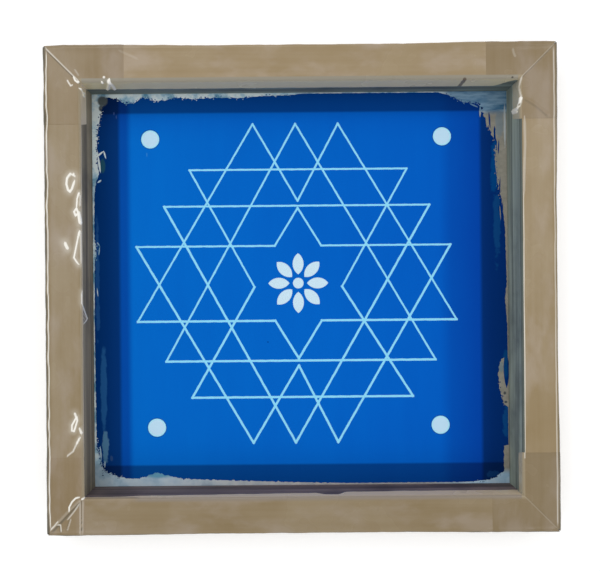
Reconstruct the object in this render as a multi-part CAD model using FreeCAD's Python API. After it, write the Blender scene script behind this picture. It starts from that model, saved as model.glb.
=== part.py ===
import FreeCAD, Part
import math
import os

# Hand-made screen printing frame: four mitred wooden rails, a polyester mesh stretched over
# their underside, a stencil of photo emulsion on the mesh, and packing tape round every rail.
# The frame lies flat, printing side down, with the ink well open to the top.
# Origin: middle of the underside. +X right, +Y towards the head rail, +Z up. Millimetres.

# ---------------------------------------------------------------- driving dimensions
tape = 0.1              # thickness of one layer of tape
tape_width = 48.0       # width of the roll
frame_width = 304.8     # wood, outside, along X
frame_length = 290.6    # wood, outside, along Y
rail_width = 21.6       # wood, across the face
rail_depth = 25.0       # wood, along Z
arris_radius = 1.4      # the rails' long edges, eased with sandpaper
corner_radius = 1.6     # the upright outer corners

mesh_thickness = 0.1
film_thickness = 0.06   # dried emulsion on the well side of the mesh
film_margin = 3.5       # bare mesh between the emulsion and the rails

# how far the face tape turns down the inner wall, and the print tape reaches over the mesh
face_lip = {"head": 16.6, "foot": 9.5, "left": 0.0, "right": 0.0}
over_mesh = {"head": 12.1, "foot": 13.0, "left": 22.8, "right": 16.8}
second_strip_set_back = 6.4     # the left side has two strips, one this far short of the other

# corner patches: an extra length of tape, folded round each corner. Arms are measured from
# the outer corner and lips down the inner wall, both as (along X, along Y).
patch_arms = {
    ("head", "left"): (47.7, 46.4),
    ("head", "right"): (41.6, 45.2),
    ("foot", "left"): (22.4, 46.0),
    ("foot", "right"): (40.0, 46.7),
}
patch_lips = {
    ("head", "left"): (16.6, 14.4),
    ("head", "right"): (12.0, 12.0),
    ("foot", "left"): (0.0, 0.0),
    ("foot", "right"): (8.0, 6.7),
}
patch_skirt = 9.0       # down the outer side

nail_diameter = 1.8
nail_length = 38.0
nail_head_diameter = 3.6
nail_head_thickness = 0.8
nail_tip = 3.0
nail_setback = 11.0     # from the outer corner to the nail, along the rail
nail_heights = (8.5, 17.0)

staple_crown = 10.0
staple_wire = 0.5
staple_leg = 6.0
staple_inset = 11.0     # from the outer face of the rail
staple_pitch = 25.0
staple_lean = 20.0      # degrees between the crown and the rail

# stencil artwork: drawn by hand, so each row of the star has its own two ends along X
design_x = -1.5
design_y = 3.6
row_heights = (0.0, 23.7, 49.0, 72.0, 100.8)    # above and below design_y
row_ends = {
    4: (-29.6, 24.3),
    3: (-69.8, 67.7),
    2: (-86.0, 81.9),
    1: (-103.7, 95.0),
    -1: (-103.2, 98.5),
    -2: (-85.4, 85.0),
    -3: (-69.1, 70.5),
    -4: (-30.6, 23.0),
}
star_half_width = 14.7          # half the gap in rows 1 and -1, where the small star opens
star_tip = 47.6
valley_tip = 52.1               # where the sides of the two outer peaks meet
waist_half_width = 27.7         # where the rows-3 triangles cross on the middle line
line_width = 1.3
dot_diameter = 11.5
dot_places = ((-94.4, 95.3), (90.2, 95.7), (-91.6, -87.1), (87.8, -86.8))
petal_count = 8
petal_inner = 5.5
petal_outer = 19.0
petal_width = 7.0
rosette_heart = 3.4     # radius of the disc in the middle of the rosette

# ---------------------------------------------------------------- worked out
mesh_bottom = tape
wood_bottom = mesh_bottom + mesh_thickness
wood_top = wood_bottom + rail_depth
inner_half_width = frame_width / 2 - rail_width
inner_half_length = frame_length / 2 - rail_width
side_turn = {"head": 0.0, "left": 90.0, "foot": 180.0, "right": -90.0}
sides = tuple(side_turn)
corners = (("head", "left"), ("head", "right"), ("foot", "left"), ("foot", "right"))
print_rise = {side: tape_width - rail_width - over_mesh[side] for side in sides}
print_rise["left"] += second_strip_set_back
face_skirt = {
    side: min(tape_width - rail_width - face_lip[side], rail_depth - 1.0) for side in sides
}


def side_length(side):
    """Outside length of the rail on that side."""
    return frame_width if side in ("head", "foot") else frame_length


def side_distance(side):
    """From the middle of the frame to that rail's outer face."""
    return frame_length / 2 if side in ("head", "foot") else frame_width / 2


def plate(points, z, height):
    """A flat plate with this outline, from z upward."""
    corners_3d = [FreeCAD.Vector(x, y, z) for x, y in points]
    outline = Part.makePolygon(corners_3d + corners_3d[:1])
    return Part.Face(outline).extrude(FreeCAD.Vector(0, 0, height))


def on_side(shape, side):
    """Turns a shape made for the head side round to another side."""
    shape.rotate(FreeCAD.Vector(), FreeCAD.Vector(0, 0, 1), side_turn[side])
    return shape


def mitre_wedge(side):
    """Everything between the two mitre planes of a side, made as for the head side."""
    half = side_length(side) / 2
    reach = side_distance(side)
    spare = 5.0
    deep = min(half, reach) - 1.0
    points = (
        (-half - spare, reach + spare),
        (-half + deep, reach - deep),
        (half - deep, reach - deep),
        (half + spare, reach + spare),
    )
    return plate(points, -spare, rail_depth + 3 * spare)


def run_along(section, side):
    """Sweeps a section of (distance outside the wood, height) along a side, mitred."""
    half = side_length(side) / 2 + 5.0
    reach = side_distance(side)
    points = [FreeCAD.Vector(-half, reach + out, z) for out, z in section]
    outline = Part.makePolygon(points + points[:1])
    bar = Part.Face(outline).extrude(FreeCAD.Vector(2 * half, 0, 0))
    return on_side(bar.common(mitre_wedge(side)), side)


# ---------------------------------------------------------------- wood
def rail(side):
    """A strip of wood with eased long edges, mitred, its tips rounded where they meet outside."""
    half = side_length(side) / 2 + 5.0
    low_corner = FreeCAD.Vector(-half, side_distance(side) - rail_width, wood_bottom)
    bar = Part.makeBox(2 * half, rail_width, rail_depth, low_corner)
    long_edges = [edge for edge in bar.Edges if edge.Length > side_length(side)]
    bar = bar.makeFillet(arris_radius, long_edges)
    return on_side(bar.common(mitre_wedge(side)), side).common(frame_blank())


def frame_blank():
    """The whole frame's outline as a block with rounded upright corners."""
    low_corner = FreeCAD.Vector(-frame_width / 2, -frame_length / 2, wood_bottom)
    block = Part.makeBox(frame_width, frame_length, rail_depth, low_corner)
    upright = [edge for edge in block.Edges if abs(edge.Length - rail_depth) < 0.01]
    return block.makeFillet(corner_radius, upright)


# ---------------------------------------------------------------- nails and staples
def nail(side, hand, height):
    """A wire nail driven through a rail's outer face, across the mitre, into the next rail."""
    head = Part.makeCylinder(nail_head_diameter / 2, nail_head_thickness)
    shank_length = nail_length - nail_tip
    shank = Part.makeCylinder(nail_diameter / 2, shank_length)
    point = Part.makeCone(
        nail_diameter / 2, 0.0, nail_tip, FreeCAD.Vector(0, 0, shank_length)
    )
    whole = head.fuse([shank, point]).removeSplitter()
    whole.rotate(FreeCAD.Vector(), FreeCAD.Vector(1, 0, 0), 90)
    x = hand * (side_length(side) / 2 - nail_setback)
    whole.translate(FreeCAD.Vector(x, side_distance(side), height))
    return on_side(whole, side)


def corner_nails(end, flank):
    """The two nails of a corner, one from each rail, at different heights."""
    from_end = {("head", "left"): -1, ("head", "right"): 1,
                ("foot", "left"): 1, ("foot", "right"): -1}[end, flank]
    low, high = nail_heights
    return [nail(end, from_end, low), nail(flank, -from_end, high)]


def staple(side, along, lean):
    """A wire staple pressed flush into the mesh and the wood, crown on the printing side."""
    crown = Part.makeBox(
        staple_crown, staple_wire, staple_wire,
        FreeCAD.Vector(-staple_crown / 2, -staple_wire / 2, mesh_bottom),
    )
    legs = [
        Part.makeBox(
            staple_wire, staple_wire, staple_leg,
            FreeCAD.Vector(x, -staple_wire / 2, mesh_bottom),
        )
        for x in (-staple_crown / 2, staple_crown / 2 - staple_wire)
    ]
    whole = crown.fuse(legs).removeSplitter()
    whole.rotate(FreeCAD.Vector(), FreeCAD.Vector(0, 0, 1), lean)
    whole.translate(FreeCAD.Vector(along, side_distance(side) - staple_inset, 0))
    return on_side(whole, side)


def mesh_staples(side):
    """Staples at an even pitch, leaning to alternate sides, clear of the mitres."""
    count = int((side_length(side) - 4 * rail_width) / staple_pitch) + 1
    first = -(count - 1) * staple_pitch / 2
    return [
        staple(side, first + i * staple_pitch, staple_lean * (-1) ** i) for i in range(count)
    ]


# ---------------------------------------------------------------- mesh and stencil
def printing_mesh():
    return Part.makeBox(
        frame_width, frame_length, mesh_thickness,
        FreeCAD.Vector(-frame_width / 2, -frame_length / 2, mesh_bottom),
    )


def artwork_point(x, height):
    return FreeCAD.Vector(x, design_y + height, 0)


def row_point(row, hand):
    """An end of a row: hand -1 is its left end, 1 its right end, 0 the middle between them."""
    left, right = row_ends[row]
    x = (left + right) / 2 + hand * (right - left) / 2
    return artwork_point(x, math.copysign(row_heights[abs(row)], row))


def lattice_lines():
    """The interlocked triangles. flip 1 gives the upper half's lines and -1 the lower's."""
    lines = []
    for flip in (1, -1):
        lines += [(row_point(row * flip, -1), row_point(row * flip, 1)) for row in (2, 3)]
        star_top = artwork_point(design_x, flip * star_tip)
        valley = artwork_point(design_x, flip * valley_tip)
        for hand in (-1, 1):
            peak = row_point(4 * flip, hand)
            waist = artwork_point(design_x + hand * waist_half_width, 0)
            notch = artwork_point(design_x + hand * star_half_width, flip * row_heights[1])
            lines += [
                (peak, row_point(-flip, hand)),
                (peak, valley),
                (row_point(4 * flip, 0), row_point(-2 * flip, hand)),
                (row_point(3 * flip, hand), waist),
                (row_point(flip, hand), notch),
                (notch, star_top),
            ]
    return lines


def line_cutter(start, end):
    """A bar along one line of the artwork, long enough to close the corners."""
    along = (end - start).normalize()
    across = FreeCAD.Vector(-along.y, along.x, 0) * (line_width / 2)
    first = start - along * (line_width / 2)
    last = end + along * (line_width / 2)
    ring = [first + across, first - across, last - across, last + across]
    return plate([(p.x, p.y) for p in ring], wood_bottom - 1, 2.0)


def petal_cutter(index):
    """One pointed petal: two arcs that meet at its ends."""
    middle = (petal_inner + petal_outer) / 2
    ends = [FreeCAD.Vector(r, 0, 0) for r in (petal_inner, petal_outer)]
    bulges = [FreeCAD.Vector(middle, s * petal_width / 2, 0) for s in (1, -1)]
    edges = [
        Part.Arc(ends[0], bulges[0], ends[1]).toShape(),
        Part.Arc(ends[1], bulges[1], ends[0]).toShape(),
    ]
    petal = Part.Face(Part.Wire(edges)).extrude(FreeCAD.Vector(0, 0, 2.0))
    petal.rotate(FreeCAD.Vector(), FreeCAD.Vector(0, 0, 1), index * 360.0 / petal_count)
    petal.translate(FreeCAD.Vector(design_x, design_y, wood_bottom - 1))
    return petal


def disc_cutter(x, y, radius):
    return Part.makeCylinder(radius, 2.0, FreeCAD.Vector(x, y, wood_bottom - 1))


def emulsion_stencil():
    """The film with its artwork cut out. The triangles stay as islands on the mesh."""
    half_x = inner_half_width - film_margin
    half_y = inner_half_length - film_margin
    film = Part.makeBox(
        2 * half_x, 2 * half_y, film_thickness,
        FreeCAD.Vector(-half_x, -half_y, wood_bottom),
    )
    cutters = [line_cutter(start, end) for start, end in lattice_lines()]
    cutters += [petal_cutter(i) for i in range(petal_count)]
    cutters += [disc_cutter(x, y, dot_diameter / 2) for x, y in dot_places]
    cutters.append(disc_cutter(design_x, design_y, rosette_heart))
    return film.cut(cutters)


# ---------------------------------------------------------------- tape
def print_tape(side):
    """From over the mesh, under the rail and up the low part of its outer face."""
    reach = rail_width + over_mesh[side]
    rise = print_rise[side]
    section = (
        (-reach, 0.0), (tape, 0.0), (tape, rise),
        (0.0, rise), (0.0, tape), (-reach, tape),
    )
    return run_along(section, side)


def outer_path(side, bottom):
    """The face tape's outer side, stepping out where it laps over the print tape."""
    lap = print_rise[side]
    if bottom >= lap:
        return [(0.0, bottom), (tape, bottom)]
    return [
        (0.0, lap), (tape, lap), (tape, bottom),
        (2 * tape, bottom), (2 * tape, lap + tape), (tape, lap + tape),
    ]


def face_tape(side):
    """Down the inner wall as a lip, over the face and down the outer side."""
    bottom = wood_top - face_skirt[side]
    lip = face_lip[side]
    over = [(tape, wood_top + tape)]
    if lip:
        over += [(-rail_width - tape, wood_top + tape), (-rail_width - tape, wood_top - lip)]
        over += [(-rail_width, wood_top - lip), (-rail_width, wood_top)]
    else:
        over += [(-rail_width, wood_top + tape), (-rail_width, wood_top)]
    section = [(0.0, wood_top)] + outer_path(side, bottom) + over
    return run_along(section, side)


def corner_box(corner, across, along, heights):
    """A box given by its distances inward from the corner's outer faces, along X and along Y."""
    end, flank = corner
    sign_x = -1 if flank == "left" else 1
    sign_y = 1 if end == "head" else -1
    xs = sorted(sign_x * (frame_width / 2 - u) for u in across)
    ys = sorted(sign_y * (frame_length / 2 - v) for v in along)
    low, high = heights
    size = (xs[1] - xs[0], ys[1] - ys[0], high - low)
    return Part.makeBox(*size, FreeCAD.Vector(xs[0], ys[0], low))


def corner_patch(corner):
    """An L of tape over the face tapes, with a skirt outside and lips down the inner walls."""
    arm_x, arm_y = patch_arms[corner]
    lip_x, lip_y = patch_lips[corner]
    outside = -2 * tape
    lap = wood_top + tape
    top = lap + tape
    wall = rail_width + tape
    inner_x = wall + tape if lip_x else rail_width
    inner_y = wall + tape if lip_y else rail_width
    skirt = (wood_top - patch_skirt, top)
    pieces = [
        corner_box(corner, (outside, arm_x), (outside, inner_x), (lap, top)),
        corner_box(corner, (outside, inner_y), (outside, arm_y), (lap, top)),
        corner_box(corner, (outside, arm_x), (outside, -tape), skirt),
        corner_box(corner, (outside, -tape), (outside, arm_y), skirt),
    ]
    if lip_x:
        lip = (wood_top - lip_x, top)
        pieces.append(corner_box(corner, (wall, arm_x), (wall, wall + tape), lip))
    if lip_y:
        lip = (wood_top - lip_y, top)
        pieces.append(corner_box(corner, (wall, wall + tape), (wall, arm_y), lip))
    return pieces[0].fuse(pieces[1:]).removeSplitter()


# ---------------------------------------------------------------- build and write
def build():
    shapes = {}
    nails = {corner: corner_nails(*corner) for corner in corners}
    staples = {side: mesh_staples(side) for side in sides}
    all_nails = [piece for group in nails.values() for piece in group]
    for side in sides:
        shapes[side + "_rail"] = rail(side).cut(all_nails + staples[side])
    for end, flank in corners:
        shapes[f"corner_nails_{end}_{flank}"] = Part.makeCompound(nails[end, flank])
    all_staples = [piece for group in staples.values() for piece in group]
    shapes["printing_mesh"] = printing_mesh().cut(all_staples)
    shapes["emulsion_stencil"] = emulsion_stencil()
    for side in sides:
        shapes["mesh_staples_" + side] = Part.makeCompound(staples[side])
        shapes["print_tape_" + side] = print_tape(side)
        shapes["face_tape_" + side] = face_tape(side)
    for end, flank in corners:
        shapes[f"corner_patch_{end}_{flank}"] = corner_patch((end, flank))
    return shapes


os.makedirs("parts", exist_ok=True)
for name, shape in build().items():
    shape.exportStep(f"parts/{name}.step")
    print(name, len(shape.Solids), "solids", round(shape.Volume, 2), "mm3", shape.isValid())
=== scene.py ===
import math

import bmesh
import bpy
import numpy as np
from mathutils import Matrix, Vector
from mathutils.geometry import delaunay_2d_cdt


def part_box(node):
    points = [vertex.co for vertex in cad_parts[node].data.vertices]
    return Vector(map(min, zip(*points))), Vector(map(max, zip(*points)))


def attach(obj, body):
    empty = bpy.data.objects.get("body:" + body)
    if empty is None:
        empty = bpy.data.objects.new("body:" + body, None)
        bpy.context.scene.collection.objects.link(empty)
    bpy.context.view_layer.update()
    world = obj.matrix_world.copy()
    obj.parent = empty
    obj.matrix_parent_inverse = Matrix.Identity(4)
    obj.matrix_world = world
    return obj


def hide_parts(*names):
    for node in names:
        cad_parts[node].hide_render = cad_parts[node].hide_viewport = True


# A hand-made screen printing frame, seen from straight above. The CAD rails, nails and staples
# keep their shape. The mesh, the emulsion and every strip of tape are remade here as thin skins
# with the folds, bubbles and torn edges that such things have. Plan places are in millimetres
# and are turned to metres when a mesh is made.

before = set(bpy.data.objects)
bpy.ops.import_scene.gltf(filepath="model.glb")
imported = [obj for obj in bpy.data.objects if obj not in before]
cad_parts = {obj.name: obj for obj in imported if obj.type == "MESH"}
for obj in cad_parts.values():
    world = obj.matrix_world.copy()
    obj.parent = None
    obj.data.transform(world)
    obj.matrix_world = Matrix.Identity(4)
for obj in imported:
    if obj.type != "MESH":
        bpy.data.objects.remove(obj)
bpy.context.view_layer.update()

# ---------------------------------------------------------------- sizes, in millimetres
MM = 0.001                  # in metres


def cad(node):
    """A node's lowest and highest corners in millimetres."""
    low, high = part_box(node)
    return Vector(low) / MM, Vector(high) / MM


wood_low = Vector((cad("left_rail")[0].x, cad("foot_rail")[0].y, cad("left_rail")[0].z))
wood_high = Vector((cad("right_rail")[1].x, cad("head_rail")[1].y, cad("left_rail")[1].z))
half_width = (wood_high.x - wood_low.x) / 2
half_length = (wood_high.y - wood_low.y) / 2
rail_width = cad("left_rail")[1].x - cad("left_rail")[0].x
wood_top = wood_high.z
well_x = half_width - rail_width        # half the ink well's width
well_y = half_length - rail_width       # and half its length
tape = 0.1                  # one layer, as the CAD has it
skin = 0.08                 # thickness of a layer as it is remade here
arris = 1.5                 # radius the tape turns over the wood's edges
outer_corner = 2.3          # plan radius the tape makes round the upright outer corners
under_corner = 1.5          # and that of the print tape, which hugs the wood there
quarter = math.pi / 2
SIDES = {                   # unit vectors in plan: along the rail, and outward
    "head": ((1, 0), (0, 1)),
    "left": ((0, 1), (-1, 0)),
    "foot": ((1, 0), (0, -1)),
    "right": ((0, 1), (1, 0)),
}
CORNERS = (("head", "left"), ("head", "right"), ("foot", "left"), ("foot", "right"))


def reach(side):
    """How far a rail's outer edge is from the frame's middle."""
    return half_length if side in ("head", "foot") else half_width


def half_run(side):
    """Half the length of a rail's outer edge."""
    return half_width if side in ("head", "foot") else half_length


# ---------------------------------------------------------------- smooth noise
def wander(values, seed, wavelength, octaves=4, roughness=0.55):
    """Smooth noise along a line, about -1 to 1, as sines with seeded phases."""
    draw = np.random.default_rng(seed)
    total = np.zeros_like(np.asarray(values, dtype=float))
    weight = 1.0
    for octave in range(octaves):
        for _ in range(3):
            k = 2 * math.pi / wavelength * 2 ** octave * draw.uniform(0.7, 1.4)
            total += weight / 3 * np.sin(k * values + draw.uniform(0, 2 * math.pi))
        weight *= roughness
    return total


def ripple(x, y, seed, wavelength, octaves=3):
    """Smooth noise over the plan, about -1 to 1."""
    draw = np.random.default_rng(seed)
    total = np.zeros_like(x)
    weight = 1.0
    for octave in range(octaves):
        for _ in range(5):
            turn = draw.uniform(0, math.pi)
            k = 2 * math.pi / wavelength * 2 ** octave * draw.uniform(0.7, 1.4)
            total += weight / 3 * np.sin(
                k * (x * math.cos(turn) + y * math.sin(turn)) + draw.uniform(0, 2 * math.pi)
            )
        weight *= 0.5
    return total


def smooth(value, low, high):
    """0 below low and 1 above high, with an eased step between."""
    t = np.clip((value - low) / (high - low), 0, 1)
    return t * t * (3 - 2 * t)


# ---------------------------------------------------------------- folds and bubbles in the tape
# Each works on the plan unrolled flat: past a rail's inner edge it goes on down the wall, and
# past the outer edge down the side, as the tape does.
def line_distance(x, y, points):
    """Distance to a line of points, how far along it the nearest point is, from 0 to 1, and
    whether it is passed on its left, 1, or its right, -1."""
    best = np.full(x.shape, 1e9)
    along = np.zeros(x.shape)
    hand = np.zeros(x.shape)
    lengths = [math.dist(a, b) for a, b in zip(points, points[1:])]
    done = 0.0
    for (ax, ay), (bx, by), length in zip(points, points[1:], lengths):
        t = ((x - ax) * (bx - ax) + (y - ay) * (by - ay)) / length ** 2
        t = np.clip(t, 0, 1)
        d = np.hypot(x - ax - t * (bx - ax), y - ay - t * (by - ay))
        near = d < best
        best = np.where(near, d, best)
        along = np.where(near, (done + t * length) / sum(lengths), along)
        cross = (bx - ax) * (y - ay) - (by - ay) * (x - ax)
        hand = np.where(near, np.sign(cross), hand)
        done += length
    return best, along, hand


def fold(x, y, points, width, steep, highlight_and_whitening, dark=0.0, glow=0.0):
    """A raised fold along a line of points: two sloping sides that thin out at its ends.

    Returns its height, its painted highlight, with some whitening of the creased tape, and the
    painted shade that lies along its right side.
    """
    d, along, hand = line_distance(x, y, points)
    closed = points[0] == points[-1]
    taper, thinnest = 0.12, 0.3     # the share of its length over which it thins, and to what
    from_end = np.minimum(along, 1 - along)
    ends = 1.0 if closed else np.minimum(1, from_end / taper + thinnest)
    blunt = 0.18                    # rounds off its crest
    rise = np.maximum(width * ends - np.sqrt(d ** 2 + blunt ** 2) + blunt, 0)
    # the painted highlight along the fold, narrower on its shaded side
    reach_of_highlight = np.where((hand < 0) & (dark > 0), 0.35, 0.95) * width * ends
    highlighted = highlight_and_whitening * (1 - smooth(d, 0.6 * reach_of_highlight, reach_of_highlight + 0.12))
    # a painted halo of light round the whitest highlights
    painted_halo = glow * max(highlight_and_whitening - 0.7, 0) * np.exp(-((d / (1.0 + 1.8 * width)) ** 2))
    # painted shade along the fold's right side
    painted_shade_and_mottle = dark * (hand < 0) * smooth(d, 0.3 * width, 0.7 * width)
    painted_shade_and_mottle = painted_shade_and_mottle * (1 - smooth(d, 1.1 * width, 1.9 * width)) * ends
    return steep * rise, np.maximum(highlighted, painted_halo), painted_shade_and_mottle


FOLDS = {                   # points, half width, slope of its sides, whiteness of its painted highlight, painted shade on its right
    "left": [
        # a ring of air with a gap at its upper right
        ([(-134.0, 67.6), (-135.0, 69.0), (-137.2, 69.2), (-138.9, 67.0), (-139.3, 63.4),
          (-138.4, 60.0), (-137.2, 58.8), (-136.0, 60.6), (-134.3, 65.8)], 0.85, 0.55, 1.0),
        ([(-132.0, 58.4), (-133.0, 54.6), (-133.4, 49.4)], 0.55, 0.55, 1.0),
        ([(-131.6, 57.0), (-131.8, 50.2)], 0.35, 0.5, 0.6),
        ([(-133.4, 49.0), (-134.9, 46.9), (-134.0, 44.6), (-132.4, 46.0), (-133.4, 49.0)],
         0.75, 0.6, 1.0),
        ([(-132.6, 47.4), (-132.0, 43.0), (-131.4, 39.4)], 0.95, 0.6, 1.0),
        ([(-131.9, 35.8), (-133.2, 29.0), (-135.2, 19.6), (-133.4, 16.8), (-132.2, 15.4)],
         0.6, 0.6, 1.0),
        ([(-131.5, 35.4), (-131.5, 16.0)], 0.4, 0.5, 0.55),
        ([(-140.6, 28.8), (-139.6, 26.4), (-138.7, 24.6)], 1.15, 0.5, 1.0),
        ([(-131.2, 0.0), (-131.5, -4.0), (-131.5, -7.4), (-130.6, -10.0)], 0.24, 0.5, 0.9),
        ([(-135.6, -72.6), (-134.6, -75.4)], 0.8, 0.55, 0.9),
        ([(-134.4, -75.0), (-137.2, -80.0), (-137.3, -83.2), (-136.0, -83.6), (-134.0, -77.2),
          (-134.4, -75.0)], 0.65, 0.6, 1.0),
        ([(-132.9, -81.6), (-131.8, -85.2)], 0.6, 0.55, 0.9),
        ([(-132.4, -87.0), (-134.6, -91.2)], 0.7, 0.5, 0.9),
        ([(-134.0, -90.0), (-136.4, -95.0), (-140.6, -99.0)], 0.5, 0.5, 0.6),
    ],
    "right": [
        ([(133.4, 101.5), (133.6, 84.0), (133.0, 70.0), (132.5, 54.0)], 0.95, 0.4, 0.28),
        ([(132.4, 56.0), (132.5, 30.0), (132.2, -5.0), (132.4, -40.0), (132.2, -84.0),
           (132.1, -102.0)], 0.24, 0.4, 0.6),
    ],
    "head": [
        ([(-107.5, 142.6), (-100.6, 139.4), (-96.4, 137.4)], 0.8, 0.08, 0.07),
    ],
    "foot": [],
}
CORNER_FOLDS = {
    ("head", "left"): [
        ([(-151.2, 144.3), (-141.0, 133.9), (-131.0, 123.9)], 0.62, 0.5, 0.5, 0.5),
        ([(-134.6, 127.4), (-133.6, 125.0), (-132.2, 123.8), (-131.8, 125.0)], 0.6, 0.6, 0.95),
        ([(-138.4, 125.4), (-137.4, 123.6), (-136.2, 121.8), (-135.0, 122.4)], 0.5, 0.5, 0.7),
        ([(-113.2, 125.8), (-114.8, 120.0), (-118.2, 111.4)], 1.35, 0.6, 1.0),
        ([(-113.0, 124.6), (-113.0, 118.0), (-113.6, 111.4)], 1.35, 0.6, 1.0),
        ([(-116.6, 127.2), (-116.2, 126.2)], 0.8, 0.5, 0.95),
        ([(-118.0, 124.6), (-117.4, 123.6)], 0.8, 0.5, 0.95),
        ([(-133.8, 131.6), (-131.4, 127.8)], 0.55, 0.16, 0.18),
    ],
    ("head", "left", "left"): [
        ([(-131.6, 120.4), (-128.0, 119.0), (-124.0, 119.6)], 1.0, 0.6, 1.0),
        ([(-128.0, 117.6), (-124.2, 117.8)], 1.0, 0.6, 1.0),
    ],
    ("head", "left", "head"): [
        ([(-130.8, 123.4), (-130.6, 113.4)], 0.4, 0.5, 0.4),
    ],
    ("head", "right"): [
        ([(131.2, 124.3), (140.0, 132.9), (151.4, 144.4)], 0.5, 0.3, 0.13, 0.35),
        ([(126.7, 141.8), (127.2, 139.5), (128.2, 136.8)], 0.8, 0.1, 0.14),
        ([(133.6, 112.6), (140.6, 108.2), (148.5, 101.4)], 1.2, 0.12, 0.0, 0.22),
        ([(132.2, 125.4), (131.0, 119.0), (132.0, 112.0), (131.6, 108.0)], 0.4, 0.5, 0.4),
        ([(131.8, 113.0), (131.2, 109.8), (128.6, 108.6)], 0.8, 0.6, 1.0),
        ([(131.2, 107.6), (127.0, 106.8), (118.8, 107.6)], 1.6, 0.6, 1.0),
        ([(129.4, 105.0), (119.4, 106.6)], 1.0, 0.6, 0.9),
    ],
    ("foot", "left"): [
        ([(-150.6, -143.0), (-145.0, -137.0), (-138.2, -130.0), (-132.6, -124.8)],
         1.2, 0.5, 0.12, 0.5),
        ([(-150.4, -142.2), (-145.8, -137.0)], 0.4, 0.5, 0.7),
        ([(-139.2, -131.4), (-139.3, -128.8), (-137.6, -125.6), (-135.4, -123.4),
          (-132.9, -122.8)], 0.55, 0.6, 0.95),
        ([(-132.0, -124.2), (-130.4, -123.4)], 0.75, 0.6, 1.0),
        ([(-133.4, -126.8), (-136.8, -131.6), (-140.6, -136.2)], 0.7, 0.3, 0.4, 0.3),
        ([(-131.1, -124.8), (-131.4, -144.9)], 0.45, 0.5, 0.2),
        ([(-132.8, -124.8), (-132.9, -144.9)], 0.45, 0.5, 0.26),
        ([(-132.1, -144.9), (-132.0, -124.8)], 0.2, 0.1, 0.0, 1.0),
        ([(-146.6, -139.2), (-144.6, -139.2), (-144.1, -143.4)], 0.5, 0.5, 0.6, 0.5),
        ([(-138.4, -135.6), (-140.6, -142.6)], 0.6, 0.3, 0.3, 0.3),
        ([(-129.0, -125.2), (-128.6, -127.6)], 0.6, 0.4, 0.6),
        ([(-126.4, -124.6), (-126.8, -126.0)], 0.5, 0.4, 0.6),
    ],
    ("foot", "right"): [
        ([(151.2, -144.1), (140.0, -132.9), (131.4, -124.3)], 0.5, 0.16, 0.09, 0.1),
    ],
}
# where the tape bridges a rail's outer edge: the wavy ridge's place, height, sway, half width and
# whiteness of its painted highlight, how dark the painted shade on the rim outside it is, and how
# far the tape stands off the side below
EDGE_RIDGES = {
    "left": (1.8, 0.45, 0.36, 0.46, 0.95, 0.75, 0.65),
    "right": (1.6, 0.2, 0.12, 0.4, 0.5, 0.5, 0.3),
    "head": (1.0, 0.04, 0.2, 0.5, 0.0, 0.8, 0.6),
    "foot": (1.3, 0.05, 0.2, 0.5, 0.0, 0.95, 0.5),
}
# how much further it stands off towards the frame's corners
CORNER_BULGE = {"left": 0.0, "right": 0.8, "head": 0.8, "foot": 0.5}


def unrolled(side, s, w):
    """Plan place of a point at s along a rail and w in from its outer edge."""
    along, out = SIDES[side]
    d = reach(side) - w
    return along[0] * s + out[0] * d, along[1] * s + out[1] * d


def stand_off(side, s, w):
    """How far the tape stands off a little below a rail's outer edge, where it bridges it."""
    widest, spread = -0.8, 2.4
    bulge = EDGE_RIDGES[side][-1]
    bulge = bulge * (0.8 + 0.3 * wander(s, 25 + len(side), 38.0, 3))
    near_corner = smooth(np.abs(s), half_run(side) - 95, half_run(side) - 45)
    return (bulge + CORNER_BULGE[side] * near_corner) * np.exp(-((w - widest) / spread) ** 2)


def stand_off_at(side, s, w, share):
    """The stand-off, evened out with the next side's towards their corner, and how far it
    carries the tape on along the rail there, so that the corner stays square."""
    hand = np.where(s > 0, 1.0, -1.0)
    corner_place = reach(side) * (1 if side in ("head", "right") else -1)
    before, after = ("left", "right") if side in ("head", "foot") else ("foot", "head")
    beyond = np.where(hand > 0, stand_off(after, corner_place, w),
                      stand_off(before, corner_place, w))
    shared = (stand_off(side, hand * half_run(side), w) + beyond) / 2
    left_over = half_run(side) - np.abs(s)
    own = stand_off(side, s, w)
    height = own + (shared - own) * (1 - smooth(left_over, 1.0, 12.0))
    onward = hand * shared * (1 - smooth(left_over, 0.0, 3.0))
    return share * height, share * onward


def edge_ridge(side, s, w):
    """The wavy ridge beside a rail's outer edge: its height, its painted highlight and the painted
    shade on the rim outside it.
    """
    place, height, sway, width, highlight_and_whitening, painted_shade_and_mottle, _ = EDGE_RIDGES[side]
    seed = len(side)
    centre = place + sway * wander(s, 10 + seed, 46.0, 3)
    tall = height * (0.8 + 0.3 * wander(s, 20 + seed, 30.0, 2))
    profile = np.exp(-(((w - centre) / width) ** 2))
    # painted shade on the rim outside the ridge, where the tape turns down the side
    rim = painted_shade_and_mottle * (1 - smooth(w, centre - 2 * width, centre - 0.7 * width))
    rim = rim * (1 - 0.7 * smooth(-w, 0.5, 5.0))
    return tall * profile, highlight_and_whitening * smooth(profile, 0.5, 1.0), rim


def nail_bumps(side, s, w):
    """The nails' heads show through the tape on the outer side, two to a rail."""
    setback = 11.0
    nail_z = 8.7 if side in ("head", "foot") else 17.2
    bump, head_radius, fade_radius = 0.35, 1.4, 3.2
    below = w - (arris - (wood_top - nail_z))
    away = np.hypot(np.abs(s) - (half_run(side) - setback), below)
    return bump * (1 - smooth(away, head_radius, fade_radius))


def patch_cover(corner, x, y):
    """1 where the corner's patch of tape lies, eased to 0 over a few millimetres outside."""
    fade = 2.0
    low, high = cad("corner_patch_%s_%s" % corner)
    inside = np.minimum(np.minimum(x - low.x, high.x - x), np.minimum(y - low.y, high.y - y))
    return smooth(inside, -fade, 0.0)


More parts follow.
